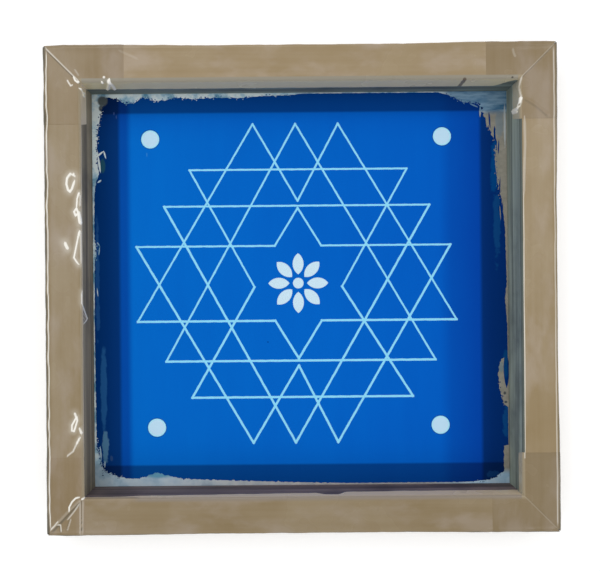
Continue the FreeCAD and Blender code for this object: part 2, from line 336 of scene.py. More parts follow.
def with_folds(x, y, height, highlight_and_whitening, painted_shade_and_mottle, folds, glow=0.0):
    """Adds folds to a relief. The glow is how far the whitest painted highlights spread a painted
    halo of light over the tape by them.
    """
    for entry in folds:
        h, w, g = fold(x, y, *entry, glow=glow)
        height = np.maximum(height, h)
        highlight_and_whitening = np.maximum(highlight_and_whitening, w)
        painted_shade_and_mottle = np.maximum(painted_shade_and_mottle, g)
    return height, highlight_and_whitening, painted_shade_and_mottle


def side_relief(side, s, w):
    """Height of a face tape above lying flat, its painted highlights and its painted shade."""
    x, y = unrolled(side, s, w)
    ridge, highlight_and_whitening, painted_shade_and_mottle = edge_ridge(side, s, w)
    height = 0.04 + 0.05 * ripple(x, y, 3, 24.0) + ridge + nail_bumps(side, s, w)
    height, highlight_and_whitening, painted_shade_and_mottle = with_folds(
        x, y, height, highlight_and_whitening, painted_shade_and_mottle, FOLDS[side], glow=0.8 if side == "left" else 0.0
    )
    return np.maximum(height, 0), highlight_and_whitening, painted_shade_and_mottle


def covered_relief(side, s, w):
    """As side_relief, pressed flat under the corner patches."""
    height, highlight_and_whitening, painted_shade_and_mottle = side_relief(side, s, w)
    x, y = unrolled(side, s, w)
    bare = 1 - sum(patch_cover(corner, x, y) for corner in CORNERS if side in corner)
    return height * bare, highlight_and_whitening, painted_shade_and_mottle


def corner_relief(corner, side, s, w, end):
    """The relief of a corner patch, which is pressed down towards its end."""
    x, y = unrolled(side, s, w)
    off_mitre = smooth(half_run(side) - np.abs(s) - w, 0.0, 5.0)
    pressed = smooth(np.abs(end - s), 0.0, 3.0)
    sunk_end = 0.07
    height, highlight_and_whitening, painted_shade_and_mottle = side_relief(side, s, w)
    height, highlight_and_whitening, painted_shade_and_mottle = with_folds(
        x, y, height * off_mitre, highlight_and_whitening * off_mitre, painted_shade_and_mottle,
        CORNER_FOLDS[corner] + CORNER_FOLDS.get(corner + (side,), [])
    )
    return height * pressed - sunk_end * (1 - pressed), highlight_and_whitening, painted_shade_and_mottle


# ---------------------------------------------------------------- meshes
def shade_smooth(mesh):
    mesh.polygons.foreach_set("use_smooth", [True] * len(mesh.polygons))
    mesh.update()


def new_object(name, points, faces):
    """A mesh object from points in millimetres."""
    mesh = bpy.data.meshes.new(name)
    mesh.from_pydata((np.asarray(points) * MM).tolist(), [], faces)
    mesh.validate()
    shade_smooth(mesh)
    obj = bpy.data.objects.new(name, mesh)
    bpy.context.scene.collection.objects.link(obj)
    return obj


def grid_faces(rows, columns, first=0, flip=False):
    faces = []
    for i in range(rows - 1):
        for j in range(columns - 1):
            a = first + i * columns + j
            quad = (a, a + 1, a + columns + 1, a + columns)
            faces.append(quad[::-1] if flip else quad)
    return faces


def thicken(obj):
    """Gives a skin its thickness, inward."""
    solid = obj.modifiers.new("tape thickness", "SOLIDIFY")
    solid.thickness = skin * MM
    solid.offset = -1
    solid.use_quality_normals = True


def settle(x, y, lift, rounding=outer_corner):
    """Keeps a plan place within the frame's outline, whose corners are rounded."""
    radius = rounding + lift
    cx = half_width + lift - radius
    cy = half_length + lift - radius
    dx = np.maximum(np.abs(x) - cx, 0)
    dy = np.maximum(np.abs(y) - cy, 0)
    r = np.hypot(dx, dy)
    corner = (dx > 0) & (dy > 0) & (r > radius)
    scale = np.where(corner, radius / np.maximum(r, 1e-9), 1.0)
    return (
        np.where(corner, np.sign(x) * (cx + dx * scale), x),
        np.where(corner, np.sign(y) * (cy + dy * scale), y),
    )


def spaced(start, end, pitch):
    """Even places from start to end, about a pitch apart."""
    count = max(2, int(abs(end - start) / pitch) + 1)
    return np.linspace(start, end, count)


def graded(start, end, fine, pitch, fine_pitch=0.28):
    """Places from start to end, close together within the fine stretches."""
    places = [start]
    while places[-1] < end:
        here = places[-1]
        close = any(low <= here <= high for low, high in fine)
        places.append(here + (fine_pitch if close else pitch))
    places[-1] = end
    return np.array(places)


# the right face tape stops short: the share of the inner edge's turn it goes round
short_of_edge = 0.13
# how far a strip's skirt lies off the print tape that turns up under it
skirt_clearance = 0.13
# how far short of the rail's inner edge the tape's milky grey, partly painted sheen, starts, and
# where it is full
GREY_BAND = {"head": (2.7, 2.2), "left": (1.5, 1.0), "foot": (3.2, 0.8), "right": (1.5, 1.0)}


def loose_flap(s):
    """The left tape has one flap that hangs loose over the wall, deepest near its lower end."""
    deepest = 0.74
    t = np.clip((-8.6 - s) / 11.4, 0, 1)
    return arris + 0.2 + 10.0 * np.minimum(t / deepest, ((1 - t) / (1 - deepest)) ** 0.5)


def flap_wear(s, depth, highlight_and_whitening, painted_shade_and_mottle):
    """The loose flap is white along its hanging edge and mottled above it."""
    flap = smooth(loose_flap(s), 1.9, 2.6)
    highlight_and_whitening = np.maximum(highlight_and_whitening, flap * (1 - smooth(loose_flap(s) - depth, 1.4, 3.8)))
    painted_shade_and_mottle = np.maximum(painted_shade_and_mottle, flap * (0.5 + 0.4 * wander(s + 0.5 * depth, 33, 2.6, 2)))
    return highlight_and_whitening, painted_shade_and_mottle


def greyness(side, s, w):
    """How grey a strip is by the rail's inner edge, partly as painted sheen of the glossy tape
    turning edge-on: 0.5 is the face's grey and 1 the wall's.
    """
    grey_from, grey_full = GREY_BAND[side]
    greying = smooth(w, rail_width - grey_from, rail_width - grey_full)
    if side == "foot":
        greying = greying * smooth(s, -104, -96)
    past = smooth(w, rail_width - 0.9, rail_width + 0.3)
    return (np.maximum(greying, past) + past) / 2


def way_over(side, has_lip, fine_face, pitch):
    """The steps of a strip's way over a rail. Each is a part of the way and how far along the
    part it is: a share of the drop down a side, an angle round an edge, or w on the face."""
    usual_drop = 14.0
    drop = spaced(1, 0, pitch / usual_drop)
    bend = np.linspace(0, quarter, 7)
    face = graded(arris, rail_width - arris, fine_face, min(pitch, 0.6))
    inner_bend = bend * (short_of_edge if side == "right" and not has_lip else 1)
    steps = [("skirt", t) for t in drop[:-1]]
    steps += [("outer", t) for t in bend[:-1]]
    steps += [("face", t) for t in face[:-1]]
    steps += [("inner", t) for t in inner_bend]
    if has_lip:
        steps += [("lip", 1 - t) for t in drop[1:]]
    return steps


def wood_under(part, t, depth):
    """The wood's surface under a step of the way: its w and z, and which way it faces."""
    if part == "skirt":
        return (0.0, wood_top - depth), (-1.0, 0.0)
    if part == "lip":
        return (rail_width, wood_top - depth), (1.0, 0.0)
    if part == "face":
        return (t, wood_top), (0.0, 1.0)
    if part == "outer":
        middle, facing = arris, (-math.cos(t), math.sin(t))
    else:
        middle, facing = rail_width - arris, (math.sin(t), math.cos(t))
    return (middle + arris * facing[0], wood_top - arris + arris * facing[1]), facing


def wrapped(side, start, end, lip, skirt, lift, relief, fine=(), fine_face=(), pitch=0.8):
    """Points of a strip of tape over a rail: up the outer side, over the face, down the wall.

    start and end give s at the strip's two ends for a distance w in from the outer edge.
    lip and skirt give how far it reaches down inside and outside, for s. fine and fine_face
    are the stretches along and across the rail where the points lie close together.
    Rows run along the rail. Returns an array of rows x columns x 3, and another with the wear at
    each point, which is mostly painted light: highlight, shade and greyness.
    """
    steps = way_over(side, lip is not None, fine_face, pitch)
    ends = sorted((start(0.0), end(0.0)))
    places = graded(*ends, fine, 1.4 * pitch, fine_pitch=0.42)
    ratio = (places - places[0]) / (places[-1] - places[0])
    out = np.empty((len(ratio), len(steps), 3))
    wear = np.zeros_like(out)
    along, outward = SIDES[side]
    slack = 0.3             # how far folds may lie outside the outline before they are settled
    for column, (part, t) in enumerate(steps):
        turned = arris * t / quarter
        w = {"skirt": 0.0, "outer": turned, "face": t, "inner": rail_width - arris + turned,
             "lip": rail_width}[part]
        u = rail_width + float(lip(end(rail_width))) * t if part == "lip" else w
        s = start(u) + (end(u) - start(u)) * ratio
        depth = 0.0
        if part == "skirt":
            depth = arris + (skirt(s) - arris) * t
            w = arris - depth
        elif part == "lip":
            depth = arris + np.maximum(lip(s) - arris, 0.2) * t
            w = rail_width + depth - arris
        else:
            w = np.full(s.shape, w)
        base, facing = wood_under(part, t, depth)
        height, highlight_and_whitening, painted_shade_and_mottle = relief(s, w)
        height = lift + height
        if part == "skirt":
            height = height + skirt_clearance * smooth(depth, arris, arris + 3.0)
        if part == "lip" and lip is loose_flap:
            highlight_and_whitening, painted_shade_and_mottle = flap_wear(s, depth, highlight_and_whitening, painted_shade_and_mottle)
        # a painted highlight line along the lip's cut edge
        elif part == "lip" and column == len(steps) - 1:
            highlight_and_whitening = np.maximum(highlight_and_whitening, 0.4)
        wear[:, column, 0] = highlight_and_whitening
        wear[:, column, 1] = painted_shade_and_mottle * (1 - highlight_and_whitening)
        wear[:, column, 2] = greyness(side, s, w)
        x, y = unrolled(side, s, base[0] + facing[0] * height)
        x, y = settle(x, y, lift + slack)
        # a face tape lies a little below the patches that cover its ends
        off, onward = stand_off_at(side, s, w, 0.9 + 0.1 * lift / (2 * tape))
        if part == "face":
            off = off * smooth(half_run(side) - np.abs(s) - w, 0.0, 1.5)
        out[:, column, 0] = x - (outward[0] * off + along[0] * onward) * facing[0]
        out[:, column, 1] = y - (outward[1] * off + along[1] * onward) * facing[0]
        out[:, column, 2] = base[1] + facing[1] * (height + off)
    return out, wear


def strip_object(name, arms):
    """One object from one or more grids of points, joined where their edges meet. Each has its
    wear: painted highlight with some whitening of creased tape, painted shade with the flap's
    mottle, and how grey it is, partly painted sheen, where 0.5 is the face's grey and 1 the wall's."""
    points = []
    faces = []
    wears = []
    for grid, wear, flip in arms:
        rows, columns, _ = grid.shape
        faces += grid_faces(rows, columns, len(points), flip)
        points += grid.reshape(-1, 3).tolist()
        wears.append(wear.reshape(-1, 3))
    obj = new_object(name, points, faces)
    colours = np.ones((len(points), 4))
    colours[:, :3] = np.concatenate(wears)
    layer = obj.data.color_attributes.new("wear", "FLOAT_COLOR", "POINT")
    layer.data.foreach_set("color", colours.ravel())
    if len(arms) > 1:
        mesh = bmesh.new()
        mesh.from_mesh(obj.data)
        bmesh.ops.remove_doubles(mesh, verts=mesh.verts, dist=0.01 * MM)
        mesh.to_mesh(obj.data)
        mesh.free()
        shade_smooth(obj.data)
    return obj


# whether a side's faces are turned over, so that they look outward
FLIPPED = {"head": False, "left": False, "foot": True, "right": True}


# how far the foot tape reaches down the wall, with a torn notch: places, depths
FOOT_LIP = ((-118, -100, -50, 8, 13, 21, 26, 60, 128),
            (1.8, 3.6, 5.2, 6.8, 3.8, 3.4, 8.4, 9.2, 9.6))
# how far each face tape reaches down the wall
FACE_LIP = {
    "head": lambda s: 13.2 + 0.25 * wander(s, 31, 40.0) - 11.4 * smooth(s, 117.0, 129.0),
    "foot": lambda s: np.interp(s, *FOOT_LIP) + 0.3 * wander(s, 32, 30.0),
    "left": loose_flap,
    "right": None,
}


# the stretches of each rail with small folds
FINE = {"left": [(-100, -70), (-22, 2), (12, 72)], "right": [(-120, -110)], "head": [], "foot": []}


def face_tape(side):
    node = "face_tape_" + side
    deep = wood_top - cad(node)[0].z
    half = half_run(side)
    grid, wear = wrapped(
        side,
        lambda u: min(u, rail_width) - half,
        lambda u: half - min(u, rail_width),
        FACE_LIP[side],
        lambda s: deep + 0.25 * wander(s, 40 + len(side), 50.0),
        tape,
        lambda s, w: covered_relief(side, s, w),
        fine=FINE[side],
        fine_face=[(0, 4.5), (11.5, rail_width)] if FINE[side] else [(0, 3.5)],
    )
    return strip_object(node, [(grid, wear, FLIPPED[side])])


# how far each corner patch reaches down the wall: on the head or foot rail, on the other rail
PATCH_LIPS = {
    ("head", "left"): (lambda s: 12.6 + 0 * s, lambda s: 11.6 + 0 * s),
    ("head", "right"): (
        lambda s: 12.6 - 11.0 * smooth(s, 118.0, 129.0), lambda s: 12.0 + 0.4 * wander(s, 51, 9.0)
    ),
    ("foot", "left"): (None, None),
    ("foot", "right"): (lambda s: 8.0 + 0 * s, lambda s: 6.7 + 0 * s),
}
slant = 0.25                # how far a patch's end leans back as it goes down the wall


def corner_patch(corner):
    """Two arms that meet at the mitre."""
    node = "corner_patch_%s_%s" % corner
    low, high = cad(node)
    arms = []
    for side, lip in zip(corner, PATCH_LIPS[corner]):
        half = half_run(side)
        axis = 0 if side == corner[0] else 1
        sign = 1 if corner[1 - axis] in ("head", "right") else -1
        far = (low if sign > 0 else high)[axis]
        grid, wear = wrapped(
            side,
            lambda u, half=half, sign=sign: sign * (half - min(u, rail_width)),
            lambda u, far=far, sign=sign: far + sign * slant * max(u - rail_width, 0),
            lip,
            lambda s: wood_top - low.z + 0.2 * wander(s, 60, 30.0),
            2 * tape,
            lambda s, w, side=side, far=far: corner_relief(corner, side, s, w, far),
            fine_face=[(0, rail_width)],
            pitch=0.4,
        )
        arms.append((grid, wear, FLIPPED[side] == (sign < 0)))
    return strip_object(node, arms)


# how far each print tape reaches over the mesh past the rail
OVER_MESH = {"head": 12.1, "foot": 13.0, "left": 22.8, "right": 16.8}


def print_tape(side):
    """From over the mesh, under the rail and up the low part of its outer side."""
    node = "print_tape_" + side
    half = half_run(side)
    pitch = 1.2
    turn = 0.7              # radius of its bend at the rail's lower outer edge
    bottom = 0.01           # height of its underside part above the table
    bend = np.linspace(0, quarter, 5)[1:-1]
    path = [(w, bottom) for w in spaced(rail_width + OVER_MESH[side], turn - tape, pitch)]
    path += [(turn - tape - turn * math.sin(t), turn - (turn - bottom) * math.cos(t))
             for t in bend]
    path += [(-tape, z) for z in spaced(turn, cad(node)[1].z, pitch)]
    ratio = np.linspace(0, 1, int(2 * half / pitch) + 1)
    grid = np.empty((len(ratio), len(path), 3))
    for column, (w, z) in enumerate(path):
        run = half - max(w, 0)
        s = -run + 2 * run * ratio
        if column == 0:
            w = w - 0.25 * wander(s, 70 + len(side), 80.0)
        x, y = settle(*unrolled(side, s, w), tape, under_corner)
        grid[:, column, 0] = x
        grid[:, column, 1] = y
        grid[:, column, 2] = z
    return strip_object(node, [(grid, 0 * grid, FLIPPED[side])])


# ---------------------------------------------------------------- mesh cloth and emulsion
def mesh_cloth():
    low, high = cad("printing_mesh")
    columns = 62
    xs = np.linspace(low.x, high.x, columns)
    ys = np.linspace(low.y, high.y, columns)
    grid = np.empty((columns, columns, 3))
    grid[:, :, 0] = xs[:, None]
    grid[:, :, 1] = ys[None, :]
    grid[:, :, 2] = (low.z + high.z) / 2
    return strip_object("mesh_cloth", [(grid, 0 * grid, True)])


# how far the emulsion stops short of each wall: place along the wall, gap
FILM_GAPS = {
    "head": [(-131, 9), (-121.5, 1.5), (-114, 3.0), (-111, 5.8), (-104, 5.4), (-100, 2.0),
             (-96, 2.4), (-92, 4.1), (-84, 3.7), (-79, 2.0), (-67, 3.2), (-54, 2.4), (-38, 2.8),
             (-25, 1.7), (-6, 1.2), (2, 0.2), (88, 0.2), (96, 2.5), (104, 6.8), (115, 7.6),
             (131, 8)],
    "right": [(-124, 9), (-117, 3), (-110.5, 3.2), (-100.4, 3.0), (-99.8, 0.2), (-76, 0.2),
              (-74, 2.8), (-66, 5.4), (-54, 6.4), (-45.5, 4.6), (-44, 0.2), (-24, 0.3),
              (-7, 1.6), (3, 0.4), (27, 1.0), (37, 1.2), (46, 2.1), (56, 3.3), (65, 5.6),
              (72, 6.5), (82, 7.1), (92, 7.0), (97, 9.5), (107, 13.0), (111, 15.5), (124, 15.7)],
    "foot": [(-131, 9.7), (-125, 9.7), (-117, 5.9), (-109, 4.5), (-103, 4.6), (-97, 6.4),
             (-92, 8.4), (-88, 7.0), (-76, 4.2), (-62, 3.5), (-32, 2.4), (-7, 1.5), (12, 1.0),
             (30, 0.6), (100, 0.6), (107, 0.9), (120, 2.2), (128, 7.5), (131, 8)],
    "left": [(-124, 9), (-118, 5.2), (-112, 4.8), (-105, 3.0), (-97, 0.9), (-20, 0.3),
             (18, 0.7), (22, 1.8), (29, 1.4), (31, 0.6), (60, 0.8), (68, 1.8), (74, 3.9),
             (80, 2.7), (86, 3.6), (90, 2.6), (100, 3.2), (109, 4.8), (115.5, 6.2), (124, 10)],
}


def film_gap(side, place):
    """The emulsion's gap from a wall at a place along it."""
    known = FILM_GAPS[side]
    return np.interp(place, [p for p, _ in known], [g for _, g in known])


def film_edge(side):
    """The emulsion's torn edge along one wall, as plan points in the order of s."""
    half = half_run(side) - rail_width
    places = np.arange(-half + 0.2, half - 0.1, 0.3)
    gap = film_gap(side, places)
    seed = 80 + len(side)
    rough = 0.10 + 0.10 * wander(places, seed + 50, 24.0, 2)
    torn = rough * np.sqrt(gap) * wander(places, seed, 5.0, 3, 0.64)
    gap = np.maximum(gap + 1.6 * torn, 0.12)
    return [unrolled(side, s, rail_width + g) for s, g in zip(places, gap)]


def film_outline():
    """Four torn edges, each cut off where it meets the next."""
    def keep(side, x, y):
        if side in ("head", "foot"):
            return film_gap("left", y) - well_x < x < well_x - film_gap("right", y)
        return film_gap("foot", x) - well_y < y < well_y - film_gap("head", x)

    ring = []
    for side, step in (("head", 1), ("right", -1), ("foot", -1), ("left", 1)):
        ring += [point for point in film_edge(side)[::step] if keep(side, *point)]
    return ring


# Flecks of emulsion outside the torn edge and pinholes inside it. Each row is a side, where it
# starts and ends, and its number of pinholes, which is half its number of flecks.
FLECKS = (
    ("left", 78, 116, 24), ("left", 18, 32, 5), ("left", -121, -92, 20),
    ("head", -118, -88, 12), ("head", -88, 0, 14), ("head", 92, 114, 10),
    ("right", 56, 104, 18), ("right", -78, -46, 5), ("foot", -126, -112, 10),
    ("foot", 108, 126, 4),
)
# brush marks at the torn edge, pointed at both ends: from, to, width, and whether they are bare
BRUSH_MARKS = (
    ((114.7, 115.6), (114.4, 107.4), 1.3, True),
    ((118.4, 109.4), (119.0, 101.0), 1.5, True),
    ((121.6, 110.0), (122.4, 96.2), 2.2, True),
    ((124.3, 101.0), (124.8, 92.0), 1.0, True),
    ((120.0, 111.0), (120.8, 100.2), 1.0, False),
    ((123.4, 102.0), (124.6, 88.4), 1.9, False),
    ((126.2, 93.6), (125.7, 83.8), 0.8, False),
    ((124.0, 84.0), (124.4, 72.0), 0.7, True),
    ((126.8, 70.0), (126.2, 57.0), 0.7, False),
    ((128.4, 54.0), (127.4, 39.0), 0.8, False),
    ((126.4, 52.0), (127.0, 42.0), 0.6, True),
    ((-129.3, 84.0), (-123.6, 88.4), 1.2, True),
    ((-124.0, 88.6), (-122.4, 83.0), 1.0, True),
    ((-127.6, 86.0), (-126.0, 74.0), 1.4, True),
    ((-125.4, 70.0), (-128.2, 68.0), 1.2, True),
    ((-128.6, 30.6), (-126.6, 27.6), 0.8, True),
    ((-126.8, 28.4), (-127.6, 22.0), 0.7, True),
    ((-128.9, 2.0), (-128.2, -4.0), 0.6, True),
    ((-127.8, -98.0), (-126.9, -108.0), 0.9, True),
    ((-124.8, -107.6), (-124.9, -112.4), 0.8, True),
    ((-124.4, -110.0), (-122.0, -112.6), 0.7, False),
    ((107.6, 116.4), (113.4, 113.8), 0.9, True),
    ((129.5, -40.0), (129.8, -64.0), 3.4, False),
)

# The artwork was drawn by hand, so each row of the star has its own two ends along X.
design_x = -1.5
design_y = 3.6
row_heights = (0.0, 23.7, 49.0, 72.0, 100.8)
row_ends = {
    4: (-29.6, 24.3),
    3: (-69.8, 67.7),
    2: (-86.0, 81.9),
    1: (-103.7, 95.0),
    -1: (-103.2, 98.5),
    -2: (-85.4, 85.0),
    -3: (-69.1, 70.5),
    -4: (-30.6, 23.0),
}
star_half_width = 14.7
star_tip = 47.6
valley_tip = 52.1
waist_half_width = 27.7
waist_height = -2.3
line_width = 1.3
dot_radius = 5.75
rosette_heart = 3.4
dot_places = ((-94.4, 95.3), (90.2, 95.7), (-91.6, -87.1), (87.8, -86.8))


def artwork_point(x, height):
    return Vector((x, design_y + height))


def row_point(row, hand):
    """The left or right end of one of the star's rows, or its middle where hand is 0."""
    left, right = row_ends[row]
    x = (left + right) / 2 + hand * (right - left) / 2
    return artwork_point(x, math.copysign(row_heights[abs(row)], row))


def lattice_lines():
    """The interlocked triangles. flip 1 gives the upper half's lines and -1 the lower's."""
    lines = []
    for flip in (1, -1):
        lines += [(row_point(row * flip, -1), row_point(row * flip, 1)) for row in (2, 3)]
        star_top = artwork_point(design_x, flip * star_tip)
        valley = artwork_point(design_x, flip * valley_tip)
        for hand in (-1, 1):
            peak = row_point(4 * flip, hand)
            waist = artwork_point(design_x + hand * waist_half_width, waist_height)
            notch = artwork_point(design_x + hand * star_half_width, flip * row_heights[1])
            lines += [
                (peak, row_point(-flip, hand)),
                (peak, valley),
                (row_point(4 * flip, 0), row_point(-2 * flip, hand)),
                (row_point(3 * flip, hand), waist),
                (row_point(flip, hand), notch),
                (notch, star_top),
            ]
    return lines


def line_ring(start, end, seed):
    """A hand-exposed line: its two edges wander a little."""
    along = (end - start).normalized()
    across = Vector((-along.y, along.x))
    low = (start.y + end.y) / 2 < design_y
    width = line_width * (1.12 if low else 0.96)
    start = start - along * width / 2
    length = (end - start).length + width / 2
    steps = np.linspace(0, length, max(2, int(length / 2.0)))
    edges = []
    for hand, edge_seed in ((1, seed), (-1, seed + 500)):
        half_widths = width / 2 + 0.09 * wander(steps, edge_seed, 9.0, 3)
        edges.append([start + along * t + across * hand * half
                      for t, half in zip(steps, half_widths)])
    return edges[0] + edges[1][::-1]


def disc_ring(x, y, radius):
    count = 48
    turns = [2 * math.pi * i / count for i in range(count)]
    return [Vector((x + radius * math.cos(t), y + radius * math.sin(t))) for t in turns]


def petal_ring(index):
    """A pointed petal: two arcs that meet at its ends."""
    inner, outer, width, count = 5.5, 19.0, 7.0, 12
    half = (outer - inner) / 2
    rise = width / 2
    radius = (half ** 2 + rise ** 2) / (2 * rise)
    sweep = math.asin(half / radius)
    points = []
    for side in (1, -1):
        for i in range(count):
            t = sweep * (2 * i / count - 1)
            x = (inner + outer) / 2 + side * radius * math.sin(t)
            y = side * (radius * math.cos(t) - radius + rise)
            points.append((x, y))
    turn = index * math.pi / 4
    return [
        Vector((design_x + x * math.cos(turn) - y * math.sin(turn),
                design_y + x * math.sin(turn) + y * math.cos(turn)))
        for x, y in points
    ]


def blob_ring(x, y, radius, draw):
    """An uneven spot."""
    count = 9
    stretch = draw.uniform(0.6, 1.5)
    turns = [2 * math.pi * i / count for i in range(count)]
    sizes = radius * draw.uniform(0.65, 1.25, count)
    return [
        Vector((x + r * math.cos(t) / stretch, y + r * math.sin(t) * stretch))
        for t, r in zip(turns, sizes)
    ]


def brush_ring(start, end, width):
    """A mark pointed at both ends."""
    count = 7
    start = Vector(start)
    along = Vector(end) - start
    across = Vector((-along.y, along.x)).normalized() * width / 2
    steps = [i / count for i in range(count)]
    one = [start + along * t + across * math.sin(math.pi * t) ** 0.7 for t in steps]
    two = [start + along * (1 - t) - across * math.sin(math.pi * t) ** 0.7 for t in steps]
    return one + two


def fleck_rings():
    """Flecks outside the torn edge, then pinholes inside it."""
    flecks = []
    pinholes = []
    draw = np.random.default_rng(7)
    for side, start, end, count in FLECKS:
        for _ in range(count):
            for rings, direction in ((flecks, -1), (flecks, -1), (pinholes, 1)):
                s = draw.uniform(start, end)
                away = direction * draw.uniform(0.1, 1.1)
                radius = draw.uniform(0.12, 0.42)
                gap = float(film_gap(side, s)) + away
                if gap > radius + 0.3:
                    x, y = unrolled(side, s, rail_width + gap)
                    rings.append(blob_ring(x, y, radius, draw))
    return flecks, pinholes


def counter_clockwise(ring):
    turn = sum(a.x * b.y - b.x * a.y for a, b in zip(ring, ring[1:] + ring[:1]))
    return ring if turn > 0 else ring[::-1]


def emulsion_film():
    """The film with its artwork cut out, a thin solid through and just above the mesh."""
    flecks, pinholes = fleck_rings()
    rings = [[Vector(p) for p in film_outline()]]
    rings += flecks + [brush_ring(a, b, width) for a, b, width, bare in BRUSH_MARKS if not bare]
    filled = len(rings)
    rings += pinholes + [brush_ring(a, b, width) for a, b, width, bare in BRUSH_MARKS if bare]
    rings += [line_ring(a, b, 100 + i) for i, (a, b) in enumerate(lattice_lines())]
    rings += [petal_ring(i) for i in range(8)]
    rings += [disc_ring(x, y, dot_radius) for x, y in dot_places]
    rings.append(disc_ring(design_x, design_y, rosette_heart))
    points = []
    loops = []
    for ring in rings:
        loops.append(list(range(len(points), len(points) + len(ring))))
        points += counter_clockwise(ring)
    flat, _, triangles, _, _, owners = delaunay_2d_cdt(points, [], loops, 0, 1e-5, True)
    kept = [t for t, owner in zip(triangles, owners) if owner and max(owner) < filled]
    count = len(flat)
    top = cad("emulsion_stencil")[1].z
    bottom = cad("printing_mesh")[0].z - 0.004
    solid = [(p.x, p.y, top) for p in flat] + [(p.x, p.y, bottom) for p in flat]
    faces = [tuple(t) for t in kept] + [tuple(i + count for i in reversed(t)) for t in kept]
    edges = dict.fromkeys(edge for t in kept for edge in zip(t, t[1:] + t[:1]))
    for a, b in edges:
        if (b, a) not in edges:
            faces.append((b, a, a + count, b + count))
    obj = new_object("emulsion_film", solid, faces)
    mesh = bmesh.new()
    mesh.from_mesh(obj.data)
    bmesh.ops.delete(mesh, geom=[v for v in mesh.verts if not v.link_faces], context="VERTS")
    mesh.to_mesh(obj.data)
    mesh.free()
    obj.data.polygons.foreach_set("use_smooth", [False] * len(obj.data.polygons))
    return obj


# ---------------------------------------------------------------- materials
# A shader's places are in metres, so the bare numbers that they are stepped between are too.
def linear(rgb, scale=(1, 1, 1)):
    """A colour given in 0 to 255 as the eye sees it, scaled, for a shader."""
    def channel(c):
        c = c / 255
        return c / 12.92 if c <= 0.04045 else ((c + 0.055) / 1.055) ** 2.4
    return tuple(channel(c * factor) for c, factor in zip(rgb, scale)) + (1.0,)


def shader_colour(value):
    """Three numbers are a colour as the eye sees it, and four are ready for a shader."""
    return linear(value) if len(value) == 3 else value


class Shader:
    """A node material, built by small steps that each return an output socket."""

    def __init__(self, name, **sockets):
        self.material = bpy.data.materials.new(name)
        self.material.use_nodes = True
        self.nodes = self.material.node_tree.nodes
        self.links = self.material.node_tree.links
        self.surface = self.nodes["Principled BSDF"]
        for socket, value in sockets.items():
            self.surface.inputs[socket.replace("_", " ")].default_value = value
        self.place = self.nodes.new("ShaderNodeTexCoord").outputs["Object"]
        split = self.nodes.new("ShaderNodeSeparateXYZ")
        self.links.new(self.place, split.inputs[0])
        self.x, self.y, self.z = split.outputs

    def put(self, socket, value):
        if isinstance(value, bpy.types.NodeSocket):
            self.links.new(value, socket)
        elif isinstance(value, tuple):
            socket.default_value = shader_colour(value)
        else:
            socket.default_value = value

    def math(self, operation, *values):
        node = self.nodes.new("ShaderNodeMath")
        node.operation = operation
        for socket, value in zip(node.inputs, values):
            self.put(socket, value)
        return node.outputs[0]

    def times(self, a, b):
        return self.math("MULTIPLY", a, b)

    def step(self, value, low, high):
        """An eased step from 0 at low to 1 at high, which may be the smaller."""
        node = self.nodes.new("ShaderNodeMapRange")
        node.interpolation_type = "SMOOTHSTEP"
        self.put(node.inputs["Value"], value)
        if low > high:
            low, high = high, low
            node.inputs["To Min"].default_value = 1.0
            node.inputs["To Max"].default_value = 0.0
        node.inputs["From Min"].default_value = low
        node.inputs["From Max"].default_value = high
        return node.outputs[0]

    def mix(self, factor, a, b, blend="MIX"):
        node = self.nodes.new("ShaderNodeMix")
        node.data_type = "RGBA"
        node.blend_type = blend
        self.put(node.inputs[0], factor)
        self.put(node.inputs[6], a)
        self.put(node.inputs[7], b)
        return node.outputs[2]

    def ramp(self, value, stops):
        node = self.nodes.new("ShaderNodeValToRGB")
        self.put(node.inputs[0], value)
        band = node.color_ramp
        while len(band.elements) < len(stops):
            band.elements.new(1.0)
        for element, (position, colour) in zip(band.elements, stops):
            element.position = position
            element.color = shader_colour(colour)
        return node.outputs[0]

    def stretched(self, scale):
        node = self.nodes.new("ShaderNodeMapping")
        self.links.new(self.place, node.inputs["Vector"])
        node.inputs["Scale"].default_value = scale
        return node.outputs[0]

    def noise(self, scale, detail=3.0, roughness=0.5, vector=None, distortion=0.0):
        node = self.nodes.new("ShaderNodeTexNoise")
        node.inputs["Scale"].default_value = scale
        node.inputs["Detail"].default_value = detail
        node.inputs["Roughness"].default_value = roughness
        node.inputs["Distortion"].default_value = distortion
        self.links.new(vector or self.place, node.inputs["Vector"])
        return node.outputs["Fac"]

    def bump(self, height, strength, distance_mm):
        node = self.nodes.new("ShaderNodeBump")
        node.inputs["Strength"].default_value = strength
        node.inputs["Distance"].default_value = distance_mm * MM
        self.put(node.inputs["Height"], height)
        self.links.new(node.outputs[0], self.surface.inputs["Normal"])

    def distance(self, place, size=(1, 1)):
        """How far each point is in plan from a place in millimetres, in units of size."""
        across, up = [self.math("DIVIDE", self.math("SUBTRACT", value, middle * MM), unit * MM)
                      for value, middle, unit in zip((self.x, self.y), place, size)]
        return self.math("SQRT", self.math("MULTIPLY_ADD", across, across, self.times(up, up)))

    def smear(self, base, place, size, colour, strength, ragged, scale):
        """Lays a ragged oval of colour over the base. Place and size are in millimetres."""
        distance = self.distance(place, size)
        torn = self.math("MULTIPLY_ADD", self.noise(scale, 5.0, 0.65), 2 * ragged, -ragged)
        mask = self.step(self.math("ADD", distance, torn), 1.0, 0.6)
        return self.mix(self.times(mask, strength), base, colour)

    def colour(self, value):
        self.put(self.surface.inputs["Base Color"], value)

    def roughness(self, value):
        self.put(self.surface.inputs["Roughness"], value)


# the tape's colour on the inner wall, where it hangs loose: partly its own milky grey, partly
# painted sheen of the glossy tape seen edge-on
LIP_GREY = {"head": (226, 213, 172), "left": (232, 214, 180), "foot": (234, 211, 174),
            "right": (196, 187, 158)}
